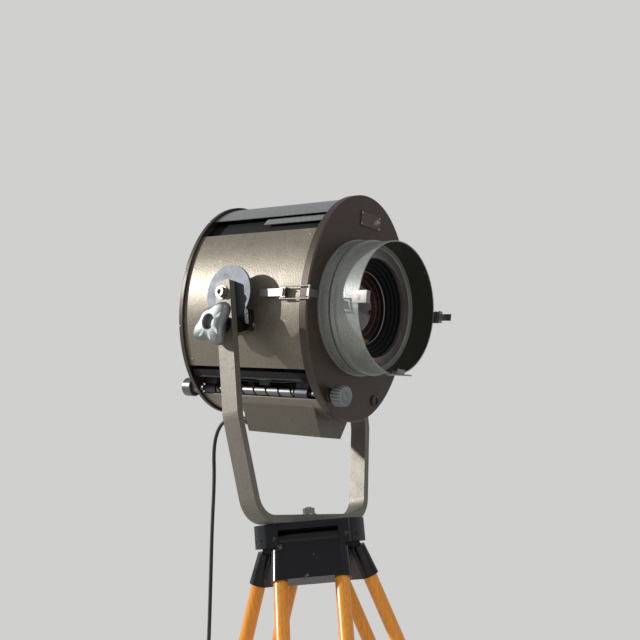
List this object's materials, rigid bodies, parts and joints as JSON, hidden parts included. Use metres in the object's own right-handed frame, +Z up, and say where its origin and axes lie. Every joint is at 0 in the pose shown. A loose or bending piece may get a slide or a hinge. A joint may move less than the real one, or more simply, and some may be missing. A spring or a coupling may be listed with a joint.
{
  "type": "tripod floor lamp",
  "caption": "Oval-bodied theatre spotlight in a flat-bar yoke on a tall tripod with wooden legs; tilts, pans, focuses and opens at the front.",
  "frame": {"origin": "on the floor under the middle of the lamp's bounding box, mains lead left out", "axes": "+Z up, -Y the way the lamp faces, +X along the tilt axis away from the star knob"},
  "size_m": [0.7778, 0.7256, 1.5838],
  "materials": {
    "hammered_bronze": "hammered bronze-grey stove enamel",
    "dark_enamel": "dark brown hammered enamel",
    "grey_enamel": "grey-green hammered enamel",
    "yoke_enamel": "grey hammered enamel, worn at the edges",
    "matt_black": "matt black paint",
    "black_gloss": "chipped gloss black paint",
    "zinc": "dull zinc plate",
    "bright_steel": "bright plated steel",
    "cast_alloy": "cast aluminium",
    "pole_wood": "orange-yellow gloss varnish",
    "lens_glass": "clear polished",
    "lamp_glass": "clear",
    "ceramic": "glazed",
    "mirror": "polished",
    "black_rubber": "satin black",
    "black_plastic": "satin",
    "label": "blank etched plate"
  },
  "bodies": {
    "stand_head": {"stand_head": "black_gloss", "hinge_pins": "bright_steel", "centre_bolt": "bright_steel", "mains_cord": "black_rubber", "cord_coil": "black_rubber", "coil_tie": "black_plastic", "mains_plug": "black_plastic"},
    "yoke": {"yoke_bar": "yoke_enamel", "tilt_clamp": "black_gloss"},
    "star_knob": {"star_knob": "cast_alloy"},
    "lamp_house": {"rear_plate": "dark_enamel", "side_panel_left": "hammered_bronze", "side_panel_right": "hammered_bronze", "top_cover": "grey_enamel", "lower_panel": "hammered_bronze", "vent_baffle": "matt_black", "inner_floor": "matt_black", "terminal_box": "hammered_bronze", "rear_vent_cover": "hammered_bronze", "spindle_bushes": "zinc", "guide_rod": "bright_steel", "latch_base": "bright_steel", "hinge_leaf": "dark_enamel", "pivot_hubs": "zinc", "pivot_screws": "bright_steel", "cord_gland": "black_plastic"},
    "front_door": {"front_plate": "dark_enamel", "lens_mount": "grey_enamel", "lens_cone": "matt_black", "lens": "lens_glass", "lens_rings": "cast_alloy", "lens_hood": "grey_enamel", "accessory_clips": "bright_steel", "catch_plate": "bright_steel", "door_knuckles": "dark_enamel", "label_plate": "label", "front_collars": "dark_enamel"},
    "front_knob": {"front_knob": "cast_alloy"},
    "focus_spindle": {"focus_spindle": "bright_steel"},
    "lamp_carriage": {"lamp_carriage": "zinc", "lampholder": "ceramic", "projector_bulb": "lamp_glass", "reflector": "mirror"},
    "latch_lever": {"latch_lever": "bright_steel"},
    "latch_bail": {"latch_bail": "bright_steel"},
    "front_leg": {"front_leg_castings": "black_gloss", "front_leg_poles": "pole_wood"},
    "front_leg_lower": {"front_leg_slider": "pole_wood", "front_leg_shoe": "black_gloss"},
    "front_leg_screw": {"front_leg_clamp_screw": "bright_steel"},
    "right_leg": {"right_leg_castings": "black_gloss", "right_leg_poles": "pole_wood"},
    "right_leg_lower": {"right_leg_slider": "pole_wood", "right_leg_shoe": "black_gloss"},
    "right_leg_screw": {"right_leg_clamp_screw": "bright_steel"},
    "rear_leg": {"rear_leg_castings": "black_gloss", "rear_leg_poles": "pole_wood"},
    "rear_leg_lower": {"rear_leg_slider": "pole_wood", "rear_leg_shoe": "black_gloss"},
    "rear_leg_screw": {"rear_leg_clamp_screw": "bright_steel"}
  },
  "joints": [
    {"name": "pan", "type": "hinge", "parent": "stand_head", "child": "yoke", "pos_m": [-0.0216, -0.08136, 1.01359], "axis": [0, 0, 1], "range_deg": [-170, 170], "deforming": ["mains_cord"]},
    {"name": "tilt", "type": "hinge", "parent": "yoke", "child": "lamp_house", "pos_m": [-0.0216, -0.08136, 1.37369], "axis": [1, 0, 0], "range_deg": [-55, 30], "deforming": ["mains_cord"]},
    {"name": "clamp_turn", "type": "hinge", "parent": "yoke", "child": "star_knob", "pos_m": [-0.2098, -0.08136, 1.32069], "axis": [-1, 0, 0], "continuous": true},
    {"name": "door", "type": "hinge", "parent": "lamp_house", "child": "front_door", "pos_m": [0.1194, -0.21013, 1.34467], "axis": [0, -0.2198, 0.9755], "range_deg": [0, 100]},
    {"name": "latch", "type": "hinge", "parent": "lamp_house", "child": "latch_lever", "pos_m": [-0.1596, -0.17957, 1.35464], "axis": [0, -0.2198, 0.9755], "range_deg": [0, 150]},
    {"name": "latch_link", "type": "hinge", "parent": "latch_lever", "child": "latch_bail", "pos_m": [-0.1596, -0.17177, 1.35639], "axis": [0, -0.2198, 0.9755], "range_deg": [-150, 0]},
    {"name": "focus_spin", "type": "hinge", "parent": "lamp_house", "child": "focus_spindle", "pos_m": [-0.081, -0.04926, 1.23127], "axis": [0, -0.9755, -0.2198], "range_deg": [-605, 605]},
    {"name": "front_knob_spin", "type": "hinge", "parent": "front_door", "child": "front_knob", "pos_m": [-0.081, -0.19071, 1.19939], "axis": [0, -0.9755, -0.2198], "range_deg": [-605, 605]},
    {"name": "focus_slide", "type": "slide", "parent": "lamp_house", "child": "lamp_carriage", "axis": [0, -0.9755, -0.2198], "range_m": [-0.045, 0.045]},
    {"name": "front_leg_hinge", "type": "hinge", "parent": "stand_head", "child": "front_leg", "pos_m": [-0.06216, -0.1106, 0.98909], "axis": [-0.585, 0.8111, 0], "range_deg": [-18, 0]},
    {"name": "front_leg_slide", "type": "slide", "parent": "front_leg", "child": "front_leg_lower", "axis": [-0.2946, -0.2125, -0.9317], "range_m": [0, 0.25]},
    {"name": "front_leg_screw_turn", "type": "hinge", "parent": "front_leg", "child": "front_leg_screw", "pos_m": [-0.3439, -0.31381, 0.15318], "axis": [-0.7557, -0.545, 0.3633], "continuous": true},
    {"name": "right_leg_hinge", "type": "hinge", "parent": "stand_head", "child": "right_leg", "pos_m": [0.024, -0.10185, 0.98909], "axis": [-0.4099, -0.9121, 0], "range_deg": [-18, 0]},
    {"name": "right_leg_slide", "type": "slide", "parent": "right_leg", "child": "right_leg_lower", "axis": [0.3313, -0.1489, -0.9317], "range_m": [0, 0.25]},
    {"name": "right_leg_screw_turn", "type": "hinge", "parent": "right_leg", "child": "right_leg_screw", "pos_m": [0.34085, -0.24425, 0.15318], "axis": [0.8498, -0.3819, 0.3633], "continuous": true},
    {"name": "rear_leg_hinge", "type": "hinge", "parent": "stand_head", "child": "rear_leg", "pos_m": [-0.02666, -0.03161, 0.98909], "axis": [0.9949, 0.1011, 0], "range_deg": [-18, 0]},
    {"name": "rear_leg_slide", "type": "slide", "parent": "rear_leg", "child": "rear_leg_lower", "axis": [-0.0367, 0.3614, -0.9317], "range_m": [0, 0.25]},
    {"name": "rear_leg_screw_turn", "type": "hinge", "parent": "rear_leg", "child": "rear_leg_screw", "pos_m": [-0.06176, 0.31399, 0.15318], "axis": [-0.0942, 0.9269, 0.3633], "continuous": true}
  ],
  "couplings": [
    {"joint": "focus_spin", "follows": "focus_slide", "rad_per_m": -232.71},
    {"joint": "front_knob_spin", "follows": "focus_slide", "rad_per_m": -232.71},
    {"joint": "latch_link", "follows": "latch", "ratio": -1}
  ]
}
